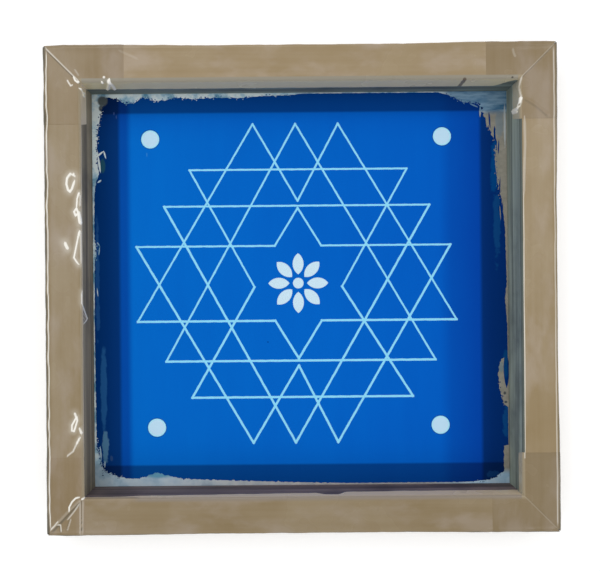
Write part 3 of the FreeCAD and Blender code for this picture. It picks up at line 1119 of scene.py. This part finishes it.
# and along the rail's inner edge
FACE_GREY = {"head": (149, 143, 128), "left": (156, 143, 118), "foot": (144, 133, 120),
             "right": (162, 147, 120)}


def tape_material(name, side, tint, stains=(), end=None):
    """Brown packing tape: glossy, with faint bands along the roll and paler blotches, and paler
    patches of painted sheen. Its folds and creases carry painted highlights, with some whitening of
    the creased tape; painted shade lies beside its folds and along the frame's edges; and it is
    milky where it hangs loose from the inner wall, partly as painted sheen of the tape seen
    edge-on. A corner patch lies on two rails: the left or right one, given by side, and the head or
    foot one, given by end."""
    shade = Shader(name, Specular_IOR_Level=0.35)
    lengthwise = (6.0, 260.0, 6.0) if side in ("head", "foot") else (260.0, 6.0, 6.0)
    bands = shade.noise(1.0, 4.0, 0.6, shade.stretched(lengthwise))
    blotches = shade.noise(26.0, 3.0, 0.55)
    dark = linear(tint, (0.93, 0.905, 0.83))
    pale = linear(tint, (1.04, 1.05, 1.08))
    base = shade.ramp(blotches, [(0.3, dark), (0.7, pale)])
    base = shade.mix(0.35, base, shade.ramp(bands, [(0.3, dark), (0.7, pale)]))
    # paler patches of painted sheen, where the glossy tape catches the light
    patchy = (35.0, 70.0, 50.0) if side in ("head", "foot") else (70.0, 30.0, 50.0)
    sheen = shade.step(shade.noise(1.0, 4.0, 0.5, shade.stretched(patchy)), 0.45, 0.72)
    base = shade.mix(shade.times(sheen, 0.7), base, linear(tint, (1.09, 1.12, 1.26)))
    wear = shade.nodes.new("ShaderNodeVertexColor")
    wear.layer_name = "wear"
    parts = shade.nodes.new("ShaderNodeSeparateColor")
    shade.links.new(wear.outputs["Color"], parts.inputs[0])
    highlight_and_whitening, painted_shade_and_mottle, wall = parts.outputs
    face_grey = FACE_GREY[side]
    wall_grey = LIP_GREY[side]
    if end:
        on_flank = shade.step(shade.math("ABSOLUTE", shade.x), (well_x - 1.2) * MM,
                              (well_x - 0.6) * MM)
        face_grey = shade.mix(on_flank, FACE_GREY[end], face_grey)
        wall_grey = shade.mix(on_flank, LIP_GREY[end], wall_grey)
    # milky grey by the inner edge and on the wall, partly painted sheen
    base = shade.mix(shade.math("MINIMUM", shade.times(wall, 2), 1), base, face_grey)
    wall = shade.math("MAXIMUM", shade.math("MULTIPLY_ADD", wall, 2, -1), 0)
    base = shade.mix(wall, base, wall_grey)
    for place, size, colour in stains:
        base = shade.smear(base, place, size, colour, 0.8, 0.7, 300.0)
    # painted shade beside folds and on the outer rims, with the flap's mottle
    base = shade.mix(painted_shade_and_mottle, base, (76, 78, 70))
    # the painted highlight's colour on the face and on the wall, with some whitening of creased
    # tape
    highlight_colour = shade.mix(wall, (255, 252, 243), (255, 248, 226))
    base = shade.mix(highlight_and_whitening, base, highlight_colour)
    shade.colour(base)
    shade.roughness(shade.math("MULTIPLY_ADD", shade.step(blotches, 0.2, 0.8), 0.1, 0.2))
    fine = shade.noise(320.0, 3.0)
    shade.bump(shade.math("ADD", fine, bands), 0.25, 0.05)
    return shade.material


def wood_material(name, side, tint):
    """Old softwood, grey with handling and ink, its grain along the rail."""
    shade = Shader(name, Specular_IOR_Level=0.25)
    lengthwise = (4.0, 220.0, 220.0) if side in ("head", "foot") else (220.0, 4.0, 220.0)
    grain = shade.noise(1.0, 5.0, 0.65, shade.stretched(lengthwise), 0.4)
    stain = shade.noise(22.0, 4.0, 0.6)
    dark = linear(tint, (0.62, 0.62, 0.62))
    pale = linear(tint, (1.2, 1.2, 1.18))
    base = shade.ramp(grain, [(0.3, dark), (0.68, pale)])
    base = shade.mix(shade.times(shade.step(stain, 0.45, 0.75), 0.5), base,
                     linear(tint, (0.42, 0.44, 0.48)))
    # darker along the wood's top, just under the tape's edge
    by_tape = shade.step(shade.z, (wood_top - 1.7) * MM, (wood_top - 1.0) * MM)
    base = shade.mix(shade.times(by_tape, 0.85), base, linear(tint, (0.48, 0.5, 0.54)))
    shade.colour(base)
    shade.roughness(shade.math("ADD", shade.times(grain, 0.25), 0.55))
    shade.bump(grain, 0.6, 0.3)
    return shade.material


def steel_material(name, tint, rough):
    shade = Shader(name, Metallic=1.0)
    wear = shade.noise(900.0, 3.0)
    shade.colour(shade.ramp(wear, [(0.35, linear(tint, (0.7, 0.68, 0.64))), (0.7, tint)]))
    shade.roughness(shade.math("ADD", shade.times(wear, 0.25), rough))
    shade.bump(wear, 0.2, 0.05)
    return shade.material


def film_material():
    """Blue emulsion, darker over the print tape that lies under the mesh's border."""
    shade = Shader("blue_emulsion", Specular_IOR_Level=0.01, Roughness=0.45)
    across = shade.math("MULTIPLY_ADD", shade.x, 1 / (2 * well_x * MM), 0.5)
    # lighter at the left and darker towards the right wall
    blue = shade.ramp(across, [
        (0.0, (1, 114, 214)), (0.25, (1, 107, 207)), (0.62, (1, 102, 205)),
        (0.835, (1, 98, 203)), (0.865, (1, 84, 186)), (0.95, (1, 70, 174)),
    ])
    cloud = shade.noise(9.0, 4.0, 0.55)
    brush = shade.noise(1.0, 3.0, 0.6, shade.stretched((70.0, 7.0, 7.0)))
    tone = shade.math("MULTIPLY_ADD", cloud, 0.6, shade.times(brush, 0.4))
    dim = shade.mix(1.0, blue, (0.86, 0.9, 0.95, 1), "MULTIPLY")
    blue = shade.mix(shade.step(tone, 0.3, 0.7), dim, blue)
    blue = shade.mix(shade.times(shade.step(shade.y, 0.092, 0.112), 0.3), blue, (1, 84, 190))

    # each print tape under the mesh: its edge, half the edge's softness, and what it lets by
    for value, edge, soft, factor in (
        (shade.x, -108.0, 2.4, (0.6, 0.50, 0.66, 1)),
        (shade.x, -114.2, 1.5, (0.7, 0.45, 0.42, 1)),
        (shade.x, 114.2, 1.5, (0.9, 0.50, 0.42, 1)),
        (shade.y, 111.6, 0.9, (0.9, 0.44, 0.46, 1)),
        (shade.y, -110.9, 0.9, (0.9, 0.45, 0.47, 1)),
    ):
        soft = math.copysign(soft, edge)
        mask = shade.step(value, (edge - soft) * MM, (edge + soft) * MM)
        blue = shade.mix(mask, blue, shade.mix(1.0, blue, factor, "MULTIPLY"))
    blue = shade.mix(1.0, blue, (4, 35, 85), "LIGHTEN")
    for place, size, colour, strength, ragged, scale in FILM_SMEARS:
        blue = shade.smear(blue, place, size, colour, strength, ragged, scale)
    for x, y in dot_places:
        near = shade.step(shade.distance((x, y)), dot_radius + 0.9, dot_radius)
        blue = shade.mix(shade.times(near, 0.6), blue, (0, 62, 140))
    shade.colour(blue)
    fine = shade.noise(1400.0, 2.0)
    shade.bump(shade.math("MULTIPLY_ADD", cloud, 4.0, fine), 0.15, 0.05)
    return shade.material


FILM_SMEARS = (     # place, half size, colour, strength, raggedness, grain
    ((-125.0, -62.0), (2.2, 34.0), (40, 98, 156), 0.7, 0.9, 90.0),
    ((-128.4, 8.0), (1.5, 46.0), (40, 90, 150), 0.7, 1.0, 160.0),
    ((-124.6, -99.0), (2.4, 12.0), (84, 130, 164), 0.9, 0.9, 160.0),
    ((-124.6, 78.8), (2.0, 5.6), (36, 82, 102), 0.95, 0.3, 160.0),
    ((-124.6, 119.9), (4.1, 4.1), (88, 98, 102), 1.0, 0.2, 200.0),
    ((-117.2, 111.8), (0.5, 1.4), (70, 96, 156), 0.5, 0.5, 300.0),
    ((-115.7, 109.6), (0.5, 1.4), (70, 96, 156), 0.5, 0.5, 300.0),
    ((-120.6, -106.4), (1.1, 2.2), (52, 80, 126), 0.7, 0.7, 300.0),
    ((-96.6, 85.6), (0.5, 1.6), (60, 140, 215), 0.6, 0.5, 300.0),
    ((123.2, 76.0), (3.0, 20.0), (3, 76, 140), 0.75, 1.2, 130.0),
    ((124.6, 40.0), (2.6, 26.0), (20, 82, 140), 0.6, 1.1, 150.0),
    ((129.4, -50.0), (1.9, 12.0), (12, 74, 130), 0.8, 0.9, 150.0),
    ((129.2, -84.0), (2.0, 16.0), (24, 92, 150), 0.5, 1.3, 160.0),
    ((121.5, -118.4), (5.0, 2.4), (30, 80, 135), 0.35, 1.3, 200.0),
    ((-21.0, -33.5), (0.8, 0.6), (0, 60, 140), 0.7, 0.3, 160.0),
    ((-106.0, 120.6), (4.0, 0.9), (60, 130, 160), 0.5, 0.9, 200.0),
)


def cloth_material():
    """Fine polyester mesh: pale where it is open, cyan in the narrow lines as painted blue light
    bled in from the film around them, and hazy with ink at the border."""
    shade = Shader("polyester_mesh", Specular_IOR_Level=0.2, Roughness=0.6, Alpha=0.85)
    # painted blue bleed: the open mesh is cyan away from the rosette, in the narrow lines
    far = shade.step(shade.distance((design_x, design_y)), 22.0, 24.0)
    open_mesh_and_bleed = shade.mix(far, (202, 232, 248), (132, 221, 253))
    for x, y in dot_places:
        away = shade.distance((x, y))
        open_mesh_and_bleed = shade.mix(shade.step(away, 8.5, 7.5), open_mesh_and_bleed, (160, 232, 252))
        inside = shade.step(away, dot_radius - 0.3, dot_radius - 1.3)
        open_mesh_and_bleed = shade.mix(inside, open_mesh_and_bleed, (188, 226, 250))
    fine = shade.noise(220.0, 5.0, 0.7)
    streak = shade.noise(1.0, 4.0, 0.6, shade.stretched((60.0, 300.0, 60.0)))
    patchy = shade.noise(90.0, 5.0, 0.6)
    pale = shade.ramp(patchy, [(0.36, (104, 164, 196)), (0.46, (186, 220, 238)),
                               (0.56, (238, 252, 255))])
    tan = shade.ramp(fine, [(0.3, (146, 144, 134)), (0.7, (170, 166, 154))])
    along = shade.math("MULTIPLY_ADD", shade.x, 1 / (2 * well_x * MM), 0.5)
    foot = shade.ramp(along, [
        (0.0, (168, 190, 206)), (0.16, (184, 204, 222)), (0.34, (190, 190, 194)),
        (0.55, (184, 172, 168)), (0.8, (160, 150, 146)), (0.93, (182, 214, 238)),
    ])
    blue_haze = shade.ramp(streak, [(0.35, (60, 116, 158)), (0.6, (138, 176, 206))])
    foot = shade.mix(0.25, foot, pale)
    border = shade.mix(shade.step(shade.y, -0.1085, -0.1115), pale, foot)
    border = shade.smear(border, (-91.0, -114.4), (17.0, 5.6), (104, 166, 196), 1.0, 0.08, 200.0)
    right = shade.step(shade.x, 0.086, 0.098)
    border = shade.mix(shade.times(right, shade.step(shade.y, 0.1, 0.108)), border, blue_haze)
    far_right = shade.step(shade.x, 0.106, 0.110)
    between = shade.times(shade.step(shade.y, 0.113, 0.108), shade.step(shade.y, -0.119, -0.114))
    border = shade.mix(shade.times(far_right, between), border, tan)
    for place, size, colour, strength, ragged, scale in CLOTH_SMEARS:
        border = shade.smear(border, place, size, colour, strength, ragged, scale)
    edge = shade.math("MAXIMUM", shade.math("ABSOLUTE", shade.x), shade.math("ABSOLUTE", shade.y))
    shade.colour(shade.mix(shade.step(edge, 0.106, 0.110), open_mesh_and_bleed, border))
    weave = shade.nodes.new("ShaderNodeTexChecker")
    weave.inputs["Scale"].default_value = 1 / (0.16 * MM)
    shade.links.new(shade.place, weave.inputs["Vector"])
    shade.bump(shade.math("ADD", weave.outputs["Fac"], fine), 0.2, 0.03)
    return shade.material


CLOTH_SMEARS = (    # place, half size, colour, strength, raggedness, grain
    ((-124.4, 119.9), (3.9, 3.9), (88, 98, 102), 1.0, 0.2, 200.0),
    ((-125.2, 115.4), (2.0, 2.6), (96, 106, 110), 1.0, 0.3, 200.0),
    ((130.0, 102.0), (0.8, 17.0), (196, 206, 212), 0.85, 0.5, 160.0),
    ((128.6, -67.1), (1.0, 1.2), (70, 76, 84), 0.9, 0.3, 300.0),
    ((129.2, -72.8), (1.1, 0.9), (58, 72, 90), 0.9, 0.3, 300.0),
    ((126.2, -50.0), (2.4, 4.0), (120, 146, 156), 0.7, 0.6, 200.0),
    ((126.7, 103.0), (3.2, 10.0), (122, 146, 162), 0.6, 0.7, 160.0),
)


def paint(obj, material):
    obj.data.materials.clear()
    obj.data.materials.append(material)


# ---------------------------------------------------------------- the object
# each rail's wood and tape, as colours in 0 to 255
WOOD = {"head": (122, 134, 128), "left": (152, 141, 119), "foot": (120, 106, 104),
        "right": (152, 162, 148)}
# the foot tape is darker than the head's partly as painted shade, the light falling from the head
# end
TAPE = {"head": (161, 142, 111), "left": (150, 133, 104), "foot": (147, 130, 101),
        "right": (158, 139, 107)}
PATCH_TAPE = {corner: (146, 128, 99) for corner in CORNERS}
PATCH_TAPE["foot", "right"] = (141, 124, 95)

STAINS = {          # old ink: place, half size, colour
    "head": (((98.2, 123.6), (1.5, 1.5), (84, 66, 54)), ((100.8, 122.2), (1.6, 0.8), (96, 80, 66))),
    ("head", "right"): (((126.5, 124.7), (0.8, 0.7), (40, 36, 32)),),
}

steel = steel_material("nail_steel", (150, 146, 140), 0.35)
staple_steel = steel_material("staple_steel", (190, 190, 192), 0.25)

for side in SIDES:
    paint(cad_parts[side + "_rail"], wood_material("wood_" + side, side, WOOD[side]))
    paint(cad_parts["mesh_staples_" + side], staple_steel)
for end, flank in CORNERS:
    paint(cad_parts[f"corner_nails_{end}_{flank}"], steel)

cloth = mesh_cloth()
paint(cloth, cloth_material())
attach(cloth, "root")
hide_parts("printing_mesh")

film = emulsion_film()
paint(film, film_material())
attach(film, "root")
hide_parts("emulsion_stencil")

for side in SIDES:
    for make, kind, stains in ((face_tape, "face_tape_", STAINS.get(side, ())),
                               (print_tape, "print_tape_", ())):
        strip = make(side)
        thicken(strip)
        paint(strip, tape_material(kind + side, side, TAPE[side], stains))
        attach(strip, "root")
        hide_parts(kind + side)
for corner in CORNERS:
    patch = corner_patch(corner)
    thicken(patch)
    paint(patch, tape_material("patch_%s_%s" % corner, corner[1], PATCH_TAPE[corner],
                               STAINS.get(corner, ()), corner[0]))
    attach(patch, "root")
    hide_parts("corner_patch_%s_%s" % corner)

# ---------------------------------------------------------------- floor, light and camera
floor_half = 3.0
floor_corners = [(x * floor_half, y * floor_half, 0)
                 for x, y in ((-1, -1), (1, -1), (1, 1), (-1, 1))]
floor_mesh = bpy.data.meshes.new("floor")
floor_mesh.from_pydata(floor_corners, [], [(0, 1, 2, 3)])
floor = bpy.data.objects.new("floor", floor_mesh)
bpy.context.scene.collection.objects.link(floor)
pale_floor = Shader("pale_floor", Roughness=0.9, Specular_IOR_Level=0.0)
pale_floor.colour((0.93, 0.93, 0.93, 1))
pale_floor.put(pale_floor.surface.inputs["Emission Color"], (1, 1, 1, 1))
pale_floor.put(pale_floor.surface.inputs["Emission Strength"], 0.3)
paint(floor, pale_floor.material)


def soft_light(name, place, size, watts):
    """A rectangle of light that faces the frame's middle."""
    data = bpy.data.lights.new(name, "AREA")
    data.shape = "RECTANGLE"
    data.size, data.size_y = size
    data.energy = watts
    light = bpy.data.objects.new(name, data)
    light.location = place
    light.rotation_euler = (-Vector(place)).to_track_quat("-Z", "Y").to_euler()
    bpy.context.scene.collection.objects.link(light)


soft_light("left_light", (-0.55, 0.05, 0.9), (0.8, 0.2), 1.5)
soft_light("right_light", (0.6, 0.1, 0.9), (0.6, 0.2), 1.3)
soft_light("head_light", (-0.2, 0.75, 1.05), (0.7, 0.2), 2.1)
soft_light("foot_light", (0.0, -0.8, 0.8), (0.7, 0.3), 0.7)

world = bpy.data.worlds.new("studio")
world.use_nodes = True
sky = world.node_tree.nodes["Background"]
sky.inputs["Color"].default_value = (1, 1, 1, 1)
sky.inputs["Strength"].default_value = 0.6
bpy.context.scene.world = world

# The camera looks straight down from about 0.42 m, turned half a degree, and the frame lies a
# little off the middle of the picture.
camera_data = bpy.data.cameras.new("camera")
camera_data.lens = 39.56
camera_data.sensor_width = 36.0
camera_data.shift_x = 14 / 600
camera_data.shift_y = 4.5 / 600
camera = bpy.data.objects.new("camera", camera_data)
camera.location = (-0.0093, -0.0007, 0.4174)
camera.rotation_euler = (0, 0, math.radians(-0.5))
bpy.context.scene.collection.objects.link(camera)
bpy.context.scene.camera = camera
bpy.context.scene.view_settings.view_transform = "Standard"
